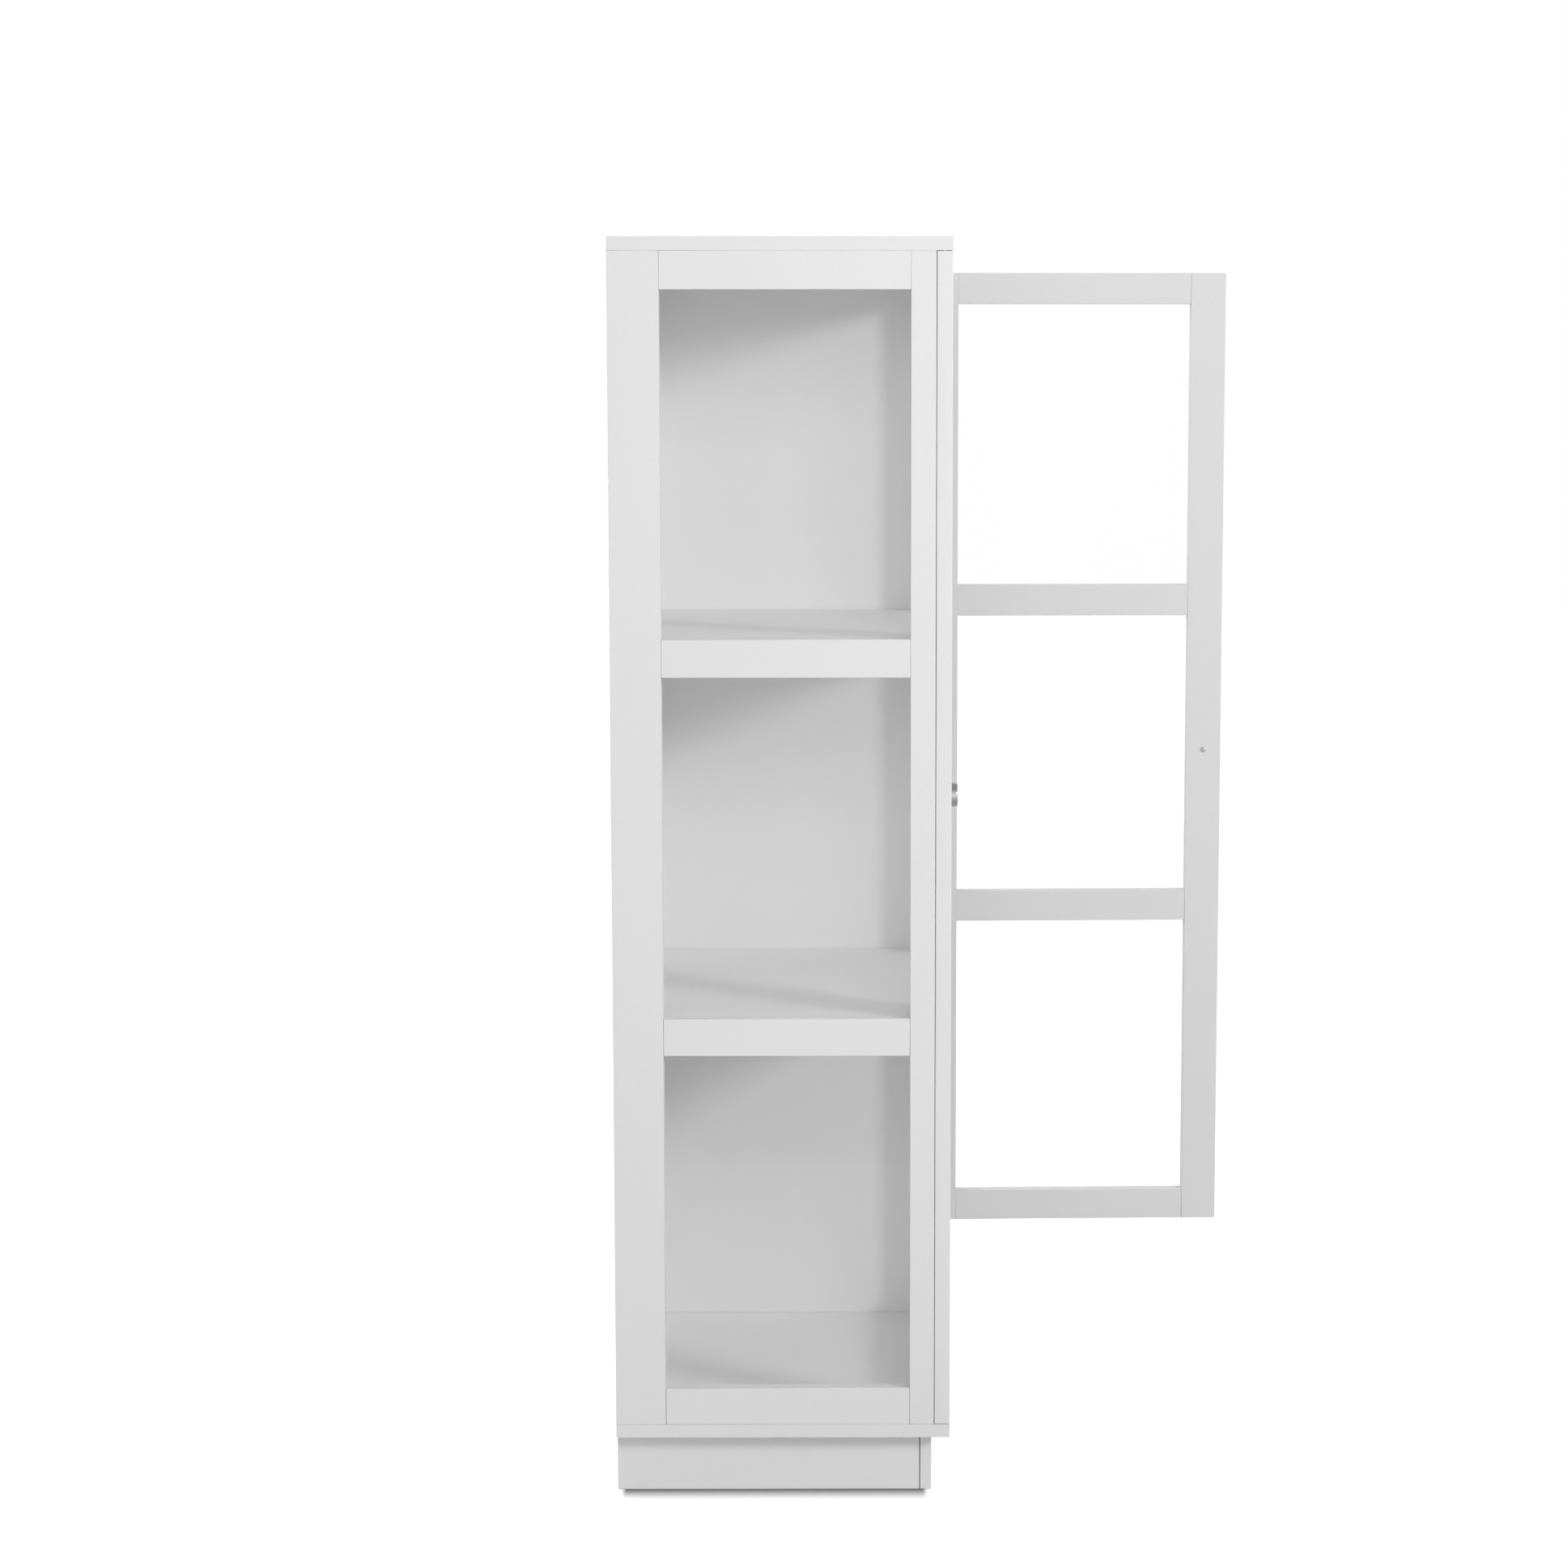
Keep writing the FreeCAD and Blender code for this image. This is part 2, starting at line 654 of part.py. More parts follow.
top_panel = new_panel("top_panel", "0", True)
magnet_seats = new_sketch(top_panel, "XY_Plane")
for sign in (-1, 1):
    seat_x = f"overall_width / 2 + {magnet_x(sign)}"
    add_circle(magnet_seats, seat_x, "door_thick / 2", "(magnet_dia + 2 * magnet_clearance)")
add_pocket(top_panel, magnet_seats, "magnet_depth", True)
place(top_panel, "-overall_width / 2", "-overall_depth / 2", CEILING)
bottom_panel = new_panel("bottom_panel", "panel_thick", False)
place(bottom_panel, "-overall_width / 2", "-overall_depth / 2", "plinth_height")
parts.extend([top_panel, bottom_panel])

magnets = []
for sign, side in ((1, "left"), (-1, "right")):
    spot = (magnet_x(sign), PIVOT_Y, CEILING)
    magnets.append(new_rod(f"{side}_magnet", "magnet_dia", "magnet_depth", Z_AXIS, *spot))
parts.append(new_group("catch_magnets", magnets))


def new_panel_leaf(label, sign, upper):
    """A hinge leaf with the pivot's bore and the stop nib, which holds the door just past square."""
    leaf = new_item("PartDesign::Body", label)
    plate = new_sketch(leaf, "XY_Plane")
    add_leaf_outline(plate, "0", "0", sign, "0")
    add_pad(leaf, plate, "leaf_thick", not upper)
    nib = new_sketch(leaf, "XY_Plane")
    add_circle(nib, f"{sign} * nib_reach * cos({NIB_ANGLE})", f"-nib_reach * sin({NIB_ANGLE})", "nib_dia")
    add_pad(leaf, nib, "door_gap - nib_clearance", upper)
    bore = new_sketch(leaf, "XY_Plane")
    add_circle(bore, "0", "0", "(pivot_dia + 2 * pivot_clearance)")
    add_pocket(leaf, bore, "leaf_thick", upper)
    bore_screw_holes(leaf, sign, upper)
    return leaf


panel_leaves = []
for side, sign in (("left", 1), ("right", -1)):
    for end, upper, height in (("top", True, CEILING), ("bottom", False, FLOOR)):
        leaf = new_panel_leaf(f"{side}_panel_leaf_{end}", sign, upper)
        place(leaf, f"-{sign} * {PIVOT_X}", PIVOT_Y, height)
        panel_leaves.append(leaf)
parts.append(new_group("panel_hinge_leaves", panel_leaves))


# Partition, back and shelves

partition = new_item("PartDesign::Body", "partition")
PARTITION_DEPTH = f"({CARCASS_DEPTH} - back_thick)"
face = new_sketch(partition, "YZ_Plane")
corners = [("0", "0"), (PARTITION_DEPTH, "0"), (PARTITION_DEPTH, FRAME_HEIGHT), ("0", FRAME_HEIGHT)]
add_outline(face, corners)
add_pad(partition, face, "divider_thick")
pin_holes = new_sketch(partition, "YZ_Plane", "divider_thick")
for level in range(1, SHELF_COUNT + 1):
    for depth in ("pin_front_inset", f"{CARCASS_DEPTH} - pin_rear_inset"):
        add_circle(pin_holes, depth, pin_height(level), "(pin_dia + 2 * pin_clearance)")
add_pocket(partition, pin_holes, "divider_thick")
place(partition, "-divider_thick / 2", FRONT, FLOOR)
parts.append(partition)

BACK_WIDTH = "(overall_width - 2 * (side_thick - back_rebate + back_clearance))"
BACK_HEIGHT = f"({FRAME_HEIGHT} + 2 * (back_rebate - back_clearance))"
back_panel = new_board("back_panel", BACK_WIDTH, "back_thick", BACK_HEIGHT)
place(back_panel, f"-{BACK_WIDTH} / 2", BACK_FACE, f"{FLOOR} - back_rebate + back_clearance")
parts.append(back_panel)

SHELF_LENGTH = f"({BAY_WIDTH} - 2 * shelf_end_gap)"
SHELF_DEPTH = f"({PARTITION_DEPTH} - shelf_setback - shelf_back_gap)"
shelf_pins = []


def new_pin(label, wall, sign, y, z):
    """A pin in a wall, with a flat tab under the shelf. The sign says which way the tab points along X."""
    spigot_length = "(pin_hole_depth - pin_end_gap)"
    spigot = new_rod(f"{label}_spigot", "pin_dia", spigot_length, -sign * X_AXIS, wall, y, z)
    tab = new_board(f"{label}_tab", "tab_length", "tab_width", "tab_thick")
    tab_x = wall if sign > 0 else f"{wall} - tab_length"
    place(tab, tab_x, f"{y} - tab_width / 2", f"{z} + pin_dia / 2 - tab_thick")
    pin = new_item("Part::Fuse", label)
    pin.Base = spigot
    pin.Tool = tab
    return pin


BAYS = (
    ("left", "side_thick - overall_width / 2", "-divider_thick / 2"),
    ("right", "divider_thick / 2", "overall_width / 2 - side_thick"),
)
for side, low_wall, high_wall in BAYS:
    for level, name in enumerate(("lower", "upper"), 1):
        shelf = new_board(f"{side}_{name}_shelf", SHELF_LENGTH, SHELF_DEPTH, "shelf_thick")
        shelf_z = f"{FLOOR} + {shelf_top(level)} - shelf_thick"
        place(shelf, f"{low_wall} + shelf_end_gap", f"{FRONT} + shelf_setback", shelf_z)
        parts.append(shelf)
        for end, pin_y in (("front", f"{FRONT} + pin_front_inset"), ("rear", f"{REAR} - pin_rear_inset")):
            for wall, sign in ((low_wall, 1), (high_wall, -1)):
                label = f"{side}_{name}_{end}_pin_{'low' if sign > 0 else 'high'}"
                shelf_pins.append(new_pin(label, wall, sign, pin_y, f"{FLOOR} + {pin_height(level)}"))
parts.append(new_group("shelf_pins", shelf_pins))

BUMPER_LENGTH = "(door_gap - bumper_clearance)"
bumpers = []
for sign, side in ((-1, "left"), (1, "right")):
    for end, height in (("low", f"{FLOOR} + bumper_end"), ("high", f"{CEILING} - bumper_end")):
        spot = (f"{sign} * bumper_offset", FRONT, height)
        bumpers.append(new_rod(f"{side}_bumper_{end}", "bumper_dia", BUMPER_LENGTH, -Y_AXIS, *spot))
parts.append(new_group("door_bumpers", bumpers))


# Plinth

PLINTH_WIDTH = "(overall_width - 2 * plinth_side_recess)"
PLINTH_FRONT = "(plinth_front_recess - overall_depth / 2)"
SIDE_START = f"({PLINTH_FRONT} + plinth_board + plinth_joint_gap)"
SIDE_LENGTH = f"({REAR} - {SIDE_START})"
INNER_WIDTH = f"({PLINTH_WIDTH} - 2 * plinth_board)"
CROSS_START = f"({PLINTH_FRONT} + plinth_board)"
CROSS_LENGTH = f"({REAR} - plinth_board - {CROSS_START})"
PLINTH = (
    ("plinth_front", PLINTH_WIDTH, "plinth_board", f"-{PLINTH_WIDTH} / 2", PLINTH_FRONT),
    ("plinth_back", INNER_WIDTH, "plinth_board", f"-{INNER_WIDTH} / 2", f"{REAR} - plinth_board"),
    ("plinth_left", "plinth_board", SIDE_LENGTH, f"-{PLINTH_WIDTH} / 2", SIDE_START),
    ("plinth_right", "plinth_board", SIDE_LENGTH, f"{PLINTH_WIDTH} / 2 - plinth_board", SIDE_START),
    ("plinth_cross_rail", "plinth_board", CROSS_LENGTH, "-plinth_board / 2", CROSS_START),
)
for label, length, width, x, y in PLINTH:
    board = new_board(label, length, width, "plinth_height")
    place(board, x, y, "0")
    parts.append(board)


# Tests before anything is written

doc.recompute()
failed = [item.Label for item in doc.Objects if {"Invalid", "Error"} & set(item.State)]
if failed:
    raise RuntimeError(f"not built: {failed}")
faulty = [item.Label for item in parts if item.Shape.isNull() or not item.Shape.isValid()]
if faulty:
    raise RuntimeError(f"not a valid shape: {faulty}")

os.makedirs("parts", exist_ok=True)
for item in parts:
    item.Shape.exportStep(f"parts/{item.Label}.step")
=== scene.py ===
"""Looks of the bookcase: its paint, glass and metal, its small fasteners, and the studio round it."""

import json
import math

import bmesh
import bpy
from mathutils import Matrix, Vector

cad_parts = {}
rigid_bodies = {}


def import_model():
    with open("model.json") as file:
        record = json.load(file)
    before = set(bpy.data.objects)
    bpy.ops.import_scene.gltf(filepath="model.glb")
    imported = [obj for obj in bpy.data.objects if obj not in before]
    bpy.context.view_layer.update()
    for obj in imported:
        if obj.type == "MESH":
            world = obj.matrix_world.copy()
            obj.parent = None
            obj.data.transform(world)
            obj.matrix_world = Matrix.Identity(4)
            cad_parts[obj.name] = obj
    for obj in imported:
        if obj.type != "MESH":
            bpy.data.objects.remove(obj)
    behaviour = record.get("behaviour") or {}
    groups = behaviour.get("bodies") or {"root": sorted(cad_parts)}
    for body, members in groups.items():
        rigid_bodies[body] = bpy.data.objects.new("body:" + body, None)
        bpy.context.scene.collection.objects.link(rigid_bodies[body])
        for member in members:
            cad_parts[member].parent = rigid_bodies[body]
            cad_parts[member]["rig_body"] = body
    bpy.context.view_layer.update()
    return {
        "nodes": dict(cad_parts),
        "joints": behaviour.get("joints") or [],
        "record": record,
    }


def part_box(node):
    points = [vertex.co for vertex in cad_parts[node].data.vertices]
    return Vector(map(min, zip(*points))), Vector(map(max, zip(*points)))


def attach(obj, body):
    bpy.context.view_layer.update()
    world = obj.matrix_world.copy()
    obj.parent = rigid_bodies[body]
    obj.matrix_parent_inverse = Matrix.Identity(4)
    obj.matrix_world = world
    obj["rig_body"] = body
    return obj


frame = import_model()
scene = bpy.context.scene
nodes = frame["nodes"]
slot_of = {part["node"]: part["material_slot"] for part in frame["record"]["subparts"]}
joints = {joint["child"]: joint for joint in frame["joints"]}

SIDES = ("left", "right")
UP = Vector((0, 0, 1))
WHITE = (1, 1, 1, 1)

# Lengths are in metres, and a texture's scale is its features in a metre

# Arrises of the painted pieces
ARRIS_WIDTH = 0.0008
ARRIS_SEGMENTS = 2
SHARP_ANGLE = math.radians(35)
SHORTEST_ARRIS = 0.015
WELD_DISTANCE = 2e-6
FLAT_ANGLE = math.radians(1)

# Screws of the hinges and of the back panel, and the cross recess in their heads. The shares are of
# the head's width, apart from the taper, which sets the recess's floor against its mouth
SCREW_RING = 24
SCREW_DEPTH_SHARE = 1 / 3
LEAF_SCREW_START = 0.016
LEAF_SCREW_PITCH = 0.016
LEAF_SCREW_COUNT = 2
LEAF_SCREW_HEAD = 0.0062
LEAF_SCREW_SHANK = 0.0033
BACK_SCREW_HEAD = 0.0056
BACK_SCREW_SHANK = 0.0028
BACK_SCREW_INSET = 0.0042
BACK_SCREW_PITCH = 0.16
KNOB_SCREW_HEAD = 0.0085
HEAD_SINK = 0.0001
HOLE_ROOM = 0.0002
CROSS_REACH_SHARE = 0.34
CROSS_WIDTH_SHARE = 0.16
CROSS_TAPER_SHARE = 0.6
CROSS_DEPTH_SHARE = 0.2

# The middle range of a noise, which holds most of it, and the detail of the finer noises
NOISE_SPAN = (0.3, 0.7)
FINE_DETAIL = 3.0

# Paint: its drifts of tone, its grain, its drifts of gloss, and the orange peel of the spray
DRIFT_SCALE = 2.3
GRAIN_SCALE = 190
GLOSS_SCALE = 9
PEEL_STRENGTH = 0.25
PAINT_SPECULAR = 0.4

# Glass: the slow sweep of its faces, its faint smears, and the tint of the light that it lets through
SWEEP_SCALES = (3, 3, 0.8)
SWEEP_STRENGTH = 0.05
SWEEP_DEPTH = 0.0004
SMEAR_SCALE = 14
SMEAR_ROUGHNESS = 0.012
GLASS_IOR = 1.5
PASSING_TINT = (0.969, 0.97, 0.97, 1)

# Metal: its tool marks, with lathe rings in radians per metre of radius
MARK_STRENGTH = 0.12
MARK_DEPTH = 0.00005
LATHE_RATE = 9000
ROLLING_SCALES = (300, 2600, 2600)

# Rubber: its clouds of tone and gloss, and how clear it is
CLOUD_SCALE = 420
RUBBER_GLOSS = (0.2, 0.32)
RUBBER_CLEARNESS = 0.5
RUBBER_IOR = 1.45


# Doors as they stand at rest


def door_directions(side):
    """Level directions of a door at rest: from its pivot to its free edge, and out of its outer face."""
    if side == "left":
        return Vector((1, 0, 0)), Vector((0, -1, 0))
    opened = -math.radians(min(joints["right_door"]["range_deg"]))
    along = Vector((-math.cos(opened), -math.sin(opened), 0))
    return along, Vector((-along.y, along.x, 0))


def pivot_at(side, height):
    """The point of a door's pivot line at a height."""
    x, y, _ = joints[f"{side}_door"]["pos_m"]
    return Vector((x, y, height))


# Node trees


def new_node(tree, kind, inputs=None, **settings):
    """A node with its settings, and its inputs set or joined to other sockets."""
    node = tree.nodes.new(kind)
    for name, value in settings.items():
        setattr(node, name, value)
    for name, value in (inputs or {}).items():
        if isinstance(value, bpy.types.NodeSocket):
            tree.links.new(value, node.inputs[name])
        else:
            node.inputs[name].default_value = value
    return node


def add_node(tree, kind, inputs=None, **settings):
    """A shader node, named by the last part of its type."""
    return new_node(tree, f"ShaderNode{kind}", inputs, **settings)


def calculate(tree, operation, *values):
    """The result of an operation on one or two numbers."""
    return add_node(tree, "Math", dict(enumerate(values)), operation=operation).outputs[0]


def length(tree, vector):
    """The length of a vector."""
    return add_node(tree, "VectorMath", {0: vector}, operation="LENGTH").outputs["Value"]


def new_material(name):
    """A material with its tree and its main shader."""
    material = bpy.data.materials.new(name)
    material.use_nodes = True
    tree = material.node_tree
    return material, tree, tree.nodes["Principled BSDF"]


def object_place(tree):
    """Position in metres, which stays with the piece as it moves."""
    return add_node(tree, "TexCoord").outputs["Object"]


def noise(tree, place, scale=1.0, detail=2.0):
    """A value that changes softly from place to place."""
    return add_node(tree, "TexNoise", {"Vector": place, "Scale": scale, "Detail": detail}).outputs["Fac"]


def stretched(tree, place, scales):
    """Position scaled by its own amount along each axis."""
    return add_node(tree, "Mapping", {"Vector": place, "Scale": scales}).outputs["Vector"]


def spread(tree, value, low, high, span=NOISE_SPAN):
    """Maps a span of values, such as a noise's middle range, to the range from low to high."""
    start, end = span
    limits = {"Value": value, "From Min": start, "From Max": end, "To Min": low, "To Max": high}
    return add_node(tree, "MapRange", limits).outputs["Result"]


def tones(tree, value, dark, light):
    """Mixes two colours by a noise."""
    ramp = add_node(tree, "ValToRGB", {"Fac": value})
    for element, colour, position in zip(ramp.color_ramp.elements, (dark, light), NOISE_SPAN):
        element.color = (*colour, 1)
        element.position = position
    return ramp.outputs["Color"]


def bump(tree, height, strength, distance):
    """Normals of a surface that rises and falls with a height."""
    sizes = {"Height": height, "Strength": strength, "Distance": distance}
    return add_node(tree, "Bump", sizes).outputs["Normal"]


def join(tree, shader, **sources):
    """Joins sources to the shader's sockets, named with _ for a space."""
    for name, source in sources.items():
        tree.links.new(source, shader.inputs[name.replace("_", " ")])


# Materials


def paint(name, dark, light, gloss, peel_scale, peel_depth):
    """Sprayed lacquer: slow drifts of tone and gloss, a fine grain, and the orange peel of the spray."""
    material, tree, shader = new_material(name)
    place = object_place(tree)
    drift = noise(tree, place, DRIFT_SCALE)
    grain = noise(tree, place, GRAIN_SCALE, FINE_DETAIL)
    mottle = calculate(tree, "MULTIPLY", calculate(tree, "ADD", drift, grain), 0.5)
    join(
        tree,
        shader,
        Base_Color=tones(tree, mottle, dark, light),
        Roughness=spread(tree, noise(tree, place, GLOSS_SCALE), *gloss),
        Normal=bump(tree, noise(tree, place, peel_scale), PEEL_STRENGTH, peel_depth),
    )
    shader.inputs["Specular IOR Level"].default_value = PAINT_SPECULAR
    return material


def white_paint():
    """Satin paint of the frames, panels, shelves and plinth."""
    return paint(
        "white_paint",
        dark=(0.838, 0.839, 0.838),
        light=(0.866, 0.866, 0.864),
        gloss=(0.36, 0.46),
        peel_scale=330,
        peel_depth=0.0002,
    )


def white_board():
    """Faced board of the back, flatter and duller than the paint."""
    return paint(
        "white_board",
        dark=(0.826, 0.827, 0.824),
        light=(0.856, 0.856, 0.852),
        gloss=(0.46, 0.58),
        peel_scale=620,
        peel_depth=0.0001,
    )


def clear_glass():
    """Clear float glass. Lamps and soft light pass through it unbent."""
    material, tree, shader = new_material("clear_glass")
    place = object_place(tree)
    sweep = noise(tree, stretched(tree, place, SWEEP_SCALES))
    join(
        tree,
        shader,
        Base_Color=tones(tree, sweep, (0.990, 0.991, 0.991), (0.997, 0.998, 0.998)),
        Roughness=spread(tree, noise(tree, place, SMEAR_SCALE), 0, SMEAR_ROUGHNESS),
        Normal=bump(tree, sweep, SWEEP_STRENGTH, SWEEP_DEPTH),
    )
    shader.inputs["Transmission Weight"].default_value = 1
    shader.inputs["IOR"].default_value = GLASS_IOR
    path = add_node(tree, "LightPath")
    surface = shader.outputs["BSDF"]
    for ray in ("Is Diffuse Ray", "Is Shadow Ray"):
        passing = add_node(tree, "BsdfTransparent", {"Color": PASSING_TINT}).outputs[0]
        choice = {0: path.outputs[ray], 1: surface, 2: passing}
        surface = add_node(tree, "MixShader", choice).outputs[0]
    tree.links.new(surface, tree.nodes["Material Output"].inputs["Surface"])
    return material


def metal(name, dark, light, gloss, streaks, height):
    """Bare metal with streaks of tone and gloss, and fine tool marks whose height a function gives."""
    material, tree, shader = new_material(name)
    place = object_place(tree)
    streak = noise(tree, stretched(tree, place, streaks), detail=FINE_DETAIL)
    join(
        tree,
        shader,
        Base_Color=tones(tree, streak, dark, light),
        Roughness=spread(tree, streak, *gloss),
        Normal=bump(tree, height(tree, place), MARK_STRENGTH, MARK_DEPTH),
    )
    shader.inputs["Metallic"].default_value = 1
    return material


def knob_chrome(side):
    """Polished chrome with the faint rings of the lathe round the knob's own axis."""
    low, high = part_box(f"{side}_knob")
    centre = (low + high) / 2
    axis = door_directions(side)[1]

    def rings(tree, place):
        arm = add_node(tree, "VectorMath", {0: place, 1: centre}, operation="SUBTRACT").outputs[0]
        turned = add_node(tree, "VectorMath", {0: arm, 1: axis}, operation="CROSS_PRODUCT").outputs[0]
        phase = calculate(tree, "MULTIPLY", length(tree, turned), LATHE_RATE)
        return calculate(tree, "SINE", phase)

    return metal(
        f"{side}_chrome",
        dark=(0.60, 0.60, 0.61),
        light=(0.68, 0.68, 0.69),
        gloss=(0.10, 0.18),
        streaks=(90, 90, 90),
        height=rings,
    )


def bright_steel():
    """Rolled and plated steel, streaked along its length."""

    def marks(tree, place):
        return noise(tree, stretched(tree, place, ROLLING_SCALES))

    return metal(
        "bright_steel",
        dark=(0.54, 0.54, 0.53),
        light=(0.63, 0.63, 0.62),
        gloss=(0.24, 0.36),
        streaks=(60, 500, 500),
        height=marks,
    )


def clear_rubber():
    """Soft clear dots that quiet the doors."""
    material, tree, shader = new_material("clear_rubber")
    cloud = noise(tree, object_place(tree), CLOUD_SCALE)
    join(
        tree,
        shader,
        Base_Color=tones(tree, cloud, (0.74, 0.75, 0.75), (0.82, 0.83, 0.83)),
        Roughness=spread(tree, cloud, *RUBBER_GLOSS),
    )
    shader.inputs["Transmission Weight"].default_value = RUBBER_CLEARNESS
    shader.inputs["IOR"].default_value = RUBBER_IOR
    return material


# Arrises


def arris_group():
    """Node group that marks the long convex edges for a bevel, and makes the other sharp edges crisp."""
    group = bpy.data.node_groups.new("arrises", "GeometryNodeTree")
    group.interface.new_socket("Geometry", in_out="INPUT", socket_type="NodeSocketGeometry")
    group.interface.new_socket("Geometry", in_out="OUTPUT", socket_type="NodeSocketGeometry")

    def add(kind, inputs=None, **settings):
        return new_node(group, kind, inputs, **settings)

    def over(value, limit):
        return add("FunctionNodeCompare", {"A": value, "B": limit}, operation="GREATER_THAN").outputs[0]

    start = add("NodeGroupInput").outputs[0]
    angle = add("GeometryNodeInputMeshEdgeAngle")
    ends = add("GeometryNodeInputMeshEdgeVertices")
    places = {0: ends.outputs["Position 1"], 1: ends.outputs["Position 2"]}
    span = add("ShaderNodeVectorMath", places, operation="DISTANCE").outputs["Value"]
    convex = over(angle.outputs["Signed Angle"], SHARP_ANGLE)
    long = over(span, SHORTEST_ARRIS)
    chosen = add("FunctionNodeBooleanMath", {0: convex, 1: long}, operation="AND").outputs[0]
    sharp = over(angle.outputs["Unsigned Angle"], SHARP_ANGLE)
    bare = add("GeometryNodeRemoveAttribute", {"Geometry": start, "Name": "custom_normal"}).outputs[0]
    smooth = add("GeometryNodeSetShadeSmooth", {"Geometry": bare, "Shade Smooth": True}).outputs[0]
    crisp = add(
        "GeometryNodeSetShadeSmooth",
        {"Geometry": smooth, "Selection": sharp, "Shade Smooth": False},
        domain="EDGE",
    ).outputs[0]
    weighted = add(
        "GeometryNodeStoreNamedAttribute",
        {"Geometry": crisp, "Name": "bevel_weight_edge", "Value": chosen},
        data_type="FLOAT",
        domain="EDGE",
    ).outputs[0]
    add("NodeGroupOutput", {0: weighted})
    return group


def weld_corners(piece):
    """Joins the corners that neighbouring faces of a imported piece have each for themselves."""
    weld = piece.modifiers.new("weld", "WELD")
    weld.merge_threshold = WELD_DISTANCE


def ease_arrises(piece, group):
    """Takes the knife edge off a painted piece, as sanding before paint does."""
    weld_corners(piece)
    flat = piece.modifiers.new("flat", "DECIMATE")
    flat.decimate_type = "DISSOLVE"
    flat.angle_limit = FLAT_ANGLE
    marks = piece.modifiers.new("marks", "NODES")
    marks.node_group = group
    bevel = piece.modifiers.new("bevel", "BEVEL")
    bevel.limit_method = "WEIGHT"
    bevel.width = ARRIS_WIDTH
    bevel.segments = ARRIS_SEGMENTS
    bevel.harden_normals = True


# Screws and their holes


def ring_points(radius, count):
    """Points round a circle."""
    turns = [2 * math.pi * index / count for index in range(count)]
    return [(radius * math.cos(turn), radius * math.sin(turn)) for turn in turns]


def cross_points(reach, width):
    """The twelve corners of a cross."""
    half = width / 2
    points = []
    for along, across in ((1, 0), (0, 1), (-1, 0), (0, -1)):
        for far, side in ((reach, -half), (reach, half), (half, half)):
            points.append((far * along - side * across, far * across + side * along))
    return points


def add_loop(mesh, matrix, points, height):
    """A closed run of edges at a height above the face."""
    corners = [mesh.verts.new(matrix @ Vector((x, y, height))) for x, y in points]
    edges = [mesh.edges.new((corner, corners[index - 1])) for index, corner in enumerate(corners)]
    return corners, edges


def add_wall(mesh, first, second):
    """Faces between two loops of as many corners."""
    for index in range(len(first)):
        mesh.faces.new((first[index - 1], first[index], second[index], second[index - 1]))


def face_matrix(place, normal):
    """A frame on a face, with its third axis out of it."""
    return Matrix.Translation(place) @ normal.to_track_quat("Z", "Y").to_matrix().to_4x4()


def add_recess(mesh, matrix, head, top):
    """The loop of a cross recess at the top of a head, with its walls and its floor."""
    reach = head * CROSS_REACH_SHARE
    width = head * CROSS_WIDTH_SHARE
    corners, edges = add_loop(mesh, matrix, cross_points(reach, width), top)
    small = cross_points(reach * CROSS_TAPER_SHARE, width * CROSS_TAPER_SHARE)
    floor = add_loop(mesh, matrix, small, top - head * CROSS_DEPTH_SHARE)[0]
    add_wall(mesh, corners, floor)
    mesh.faces.new(floor)
    return edges


def add_screw(mesh, place, normal, head, shank, depth):
    """A countersunk screw down to a depth, its head a little below the face."""
    matrix = face_matrix(place, normal)
    top = -HEAD_SINK
    rim, rim_edges = add_loop(mesh, matrix, ring_points(head / 2, SCREW_RING), top)
    recess_edges = add_recess(mesh, matrix, head, top)
    bmesh.ops.triangle_fill(mesh, edges=rim_edges + recess_edges, use_beauty=True)
    throat = top - (head - shank) / 2
    neck = add_loop(mesh, matrix, ring_points(shank / 2, SCREW_RING), throat)[0]
    foot = add_loop(mesh, matrix, ring_points(shank / 2, SCREW_RING), -depth)[0]
    add_wall(mesh, rim, neck)
    add_wall(mesh, neck, foot)
    mesh.faces.new(foot)


def add_hole(mesh, place, normal, head, shank, depth):
    """The space of a countersunk hole, closed above the face."""
    matrix = face_matrix(place, normal)
    heights = (depth, 0, (shank - head) / 2, -depth - HOLE_ROOM)
    widths = (head, head, shank, shank)
    loops = []
    for width, height in zip(widths, heights):
        loops.append(add_loop(mesh, matrix, ring_points(width / 2, SCREW_RING), height)[0])
    for first, second in zip(loops, loops[1:]):
        add_wall(mesh, first, second)
    mesh.faces.new(loops[0])
    mesh.faces.new(loops[-1])


def finish_mesh(mesh, name):
    """An object from a mesh in the making, with its faces outwards."""
    bmesh.ops.recalc_face_normals(mesh, faces=mesh.faces)
    data = bpy.data.meshes.new(name)
    mesh.to_mesh(data)
    mesh.free()
    piece = bpy.data.objects.new(name, data)
    scene.collection.objects.link(piece)
    return piece


def finish_screws(mesh, name, body, material):
    """A piece from a mesh of screws, on the body that they hold."""
    piece = finish_mesh(mesh, name)
    piece.data.materials.append(material)
    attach(piece, body)


def cut(piece, cutter):
    """Takes a hidden cutter's shape out of a piece."""
    cutter.hide_render = True
    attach(cutter, piece["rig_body"])
    weld_corners(piece)
    boolean = piece.modifiers.new("cut", "BOOLEAN")
    boolean.object = cutter
    boolean.solver = "EXACT"


